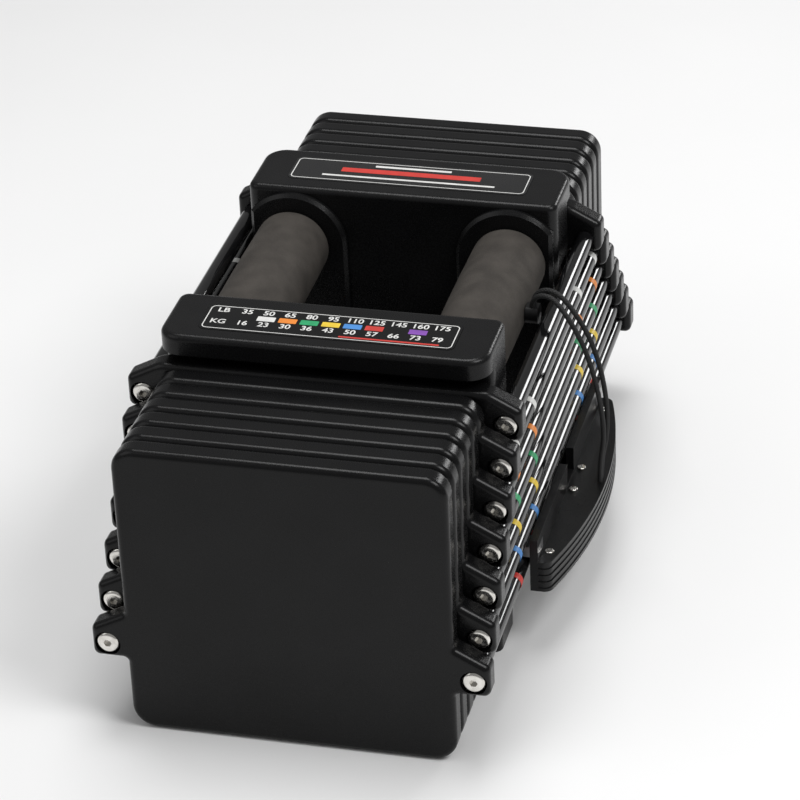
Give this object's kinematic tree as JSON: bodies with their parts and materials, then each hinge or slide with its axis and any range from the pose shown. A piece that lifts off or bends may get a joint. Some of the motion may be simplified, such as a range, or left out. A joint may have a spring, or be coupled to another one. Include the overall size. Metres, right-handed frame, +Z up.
{
  "type": "adjustable dumbbell",
  "caption": "Block-type adjustable dumbbell: nested coated weights joined by side rails, a lift-out core with padded wrist bars, and a bowed selector pin on a lanyard.",
  "frame": {"origin": "on the floor under the middle of the block", "axes": "+X to the side the selector pin enters from, +Y along the grip to the rear, +Z up"},
  "size_m": [0.2468, 0.4152, 0.1967],
  "materials": {
    "plate_coat": "satin",
    "rail_black": "gloss",
    "bright_steel": "polished",
    "band_white": "matte",
    "band_orange": "matte",
    "band_green": "matte",
    "band_yellow": "matte",
    "band_blue": "matte",
    "band_red": "matte",
    "housing_plastic": "satin",
    "label_film": "semi-gloss",
    "bar_steel": "satin",
    "pad_foam": "matte",
    "sleeve_rubber": "matte",
    "bolt_black": "satin",
    "pin_plastic": "satin",
    "cord_rubber": "matte"
  },
  "bodies": {
    "weight_1": {"front_plate_1": "plate_coat", "rear_plate_1": "plate_coat", "left_rail_1": "rail_black", "right_rail_1": "rail_black", "plate_screws_1": "bright_steel"},
    "weight_2": {"front_plate_2": "plate_coat", "rear_plate_2": "plate_coat", "left_rail_2": "rail_black", "right_rail_2": "rail_black", "plate_screws_2": "bright_steel", "rail_bands_2": "band_white"},
    "weight_3": {"front_plate_3": "plate_coat", "rear_plate_3": "plate_coat", "left_rail_3": "rail_black", "right_rail_3": "rail_black", "plate_screws_3": "bright_steel", "rail_bands_3": "band_orange"},
    "weight_4": {"front_plate_4": "plate_coat", "rear_plate_4": "plate_coat", "left_rail_4": "rail_black", "right_rail_4": "rail_black", "plate_screws_4": "bright_steel", "rail_bands_4": "band_green"},
    "weight_5": {"front_plate_5": "plate_coat", "rear_plate_5": "plate_coat", "left_rail_5": "rail_black", "right_rail_5": "rail_black", "plate_screws_5": "bright_steel", "rail_bands_5": "band_yellow"},
    "weight_6": {"front_plate_6": "plate_coat", "rear_plate_6": "plate_coat", "left_rail_6": "rail_black", "right_rail_6": "rail_black", "plate_screws_6": "bright_steel", "rail_bands_6": "band_blue"},
    "weight_7": {"front_plate_7": "plate_coat", "rear_plate_7": "plate_coat", "left_rail_7": "rail_black", "right_rail_7": "rail_black", "plate_screws_7": "bright_steel", "rail_bands_7": "band_red"},
    "core": {"front_housing": "housing_plastic", "rear_housing": "housing_plastic", "chart_label": "label_film", "rear_label": "label_film", "left_wrist_tube": "bar_steel", "right_wrist_tube": "bar_steel", "left_wrist_pad": "pad_foam", "right_wrist_pad": "pad_foam", "grip_bar": "bar_steel", "grip_sleeve": "sleeve_rubber", "core_bolts": "bolt_black", "lanyard_stud": "pin_plastic", "front_lanyard_strand": "cord_rubber", "rear_lanyard_strand": "cord_rubber"},
    "selector_pin": {"pin_handle": "pin_plastic", "front_prong": "bar_steel", "rear_prong": "bar_steel", "pin_screws": "bright_steel"}
  },
  "joints": [
    {"name": "core_lift", "type": "slide", "parent": "weight_7", "child": "core", "axis": [0, 0, 1], "range_m": [0, 0.2]},
    {"name": "weight_1_lift", "type": "slide", "parent": "weight_7", "child": "weight_1", "axis": [0, 0, 1], "range_m": [0, 0.2]},
    {"name": "weight_2_lift", "type": "slide", "parent": "weight_7", "child": "weight_2", "axis": [0, 0, 1], "range_m": [0, 0.2]},
    {"name": "weight_3_lift", "type": "slide", "parent": "weight_7", "child": "weight_3", "axis": [0, 0, 1], "range_m": [0, 0.2]},
    {"name": "weight_4_lift", "type": "slide", "parent": "weight_7", "child": "weight_4", "axis": [0, 0, 1], "range_m": [0, 0.2]},
    {"name": "weight_5_lift", "type": "slide", "parent": "weight_7", "child": "weight_5", "axis": [0, 0, 1], "range_m": [0, 0.2]},
    {"name": "weight_6_lift", "type": "slide", "parent": "weight_7", "child": "weight_6", "axis": [0, 0, 1], "range_m": [0, 0.2]},
    {"name": "pin_pull", "type": "slide", "parent": "core", "child": "selector_pin", "axis": [1, 0, 0], "range_m": [0, 0.225], "deforming": ["front_lanyard_strand", "rear_lanyard_strand"]}
  ],
  "couplings": [
    {"joint": "weight_1_lift", "follows": "core_lift", "ratio": 1},
    {"joint": "weight_2_lift", "follows": "core_lift", "ratio": 1},
    {"joint": "weight_3_lift", "follows": "core_lift", "ratio": 1},
    {"joint": "weight_4_lift", "follows": "core_lift", "ratio": 1},
    {"joint": "weight_5_lift", "follows": "core_lift", "ratio": 1},
    {"joint": "weight_6_lift", "follows": "core_lift", "ratio": 1}
  ]
}
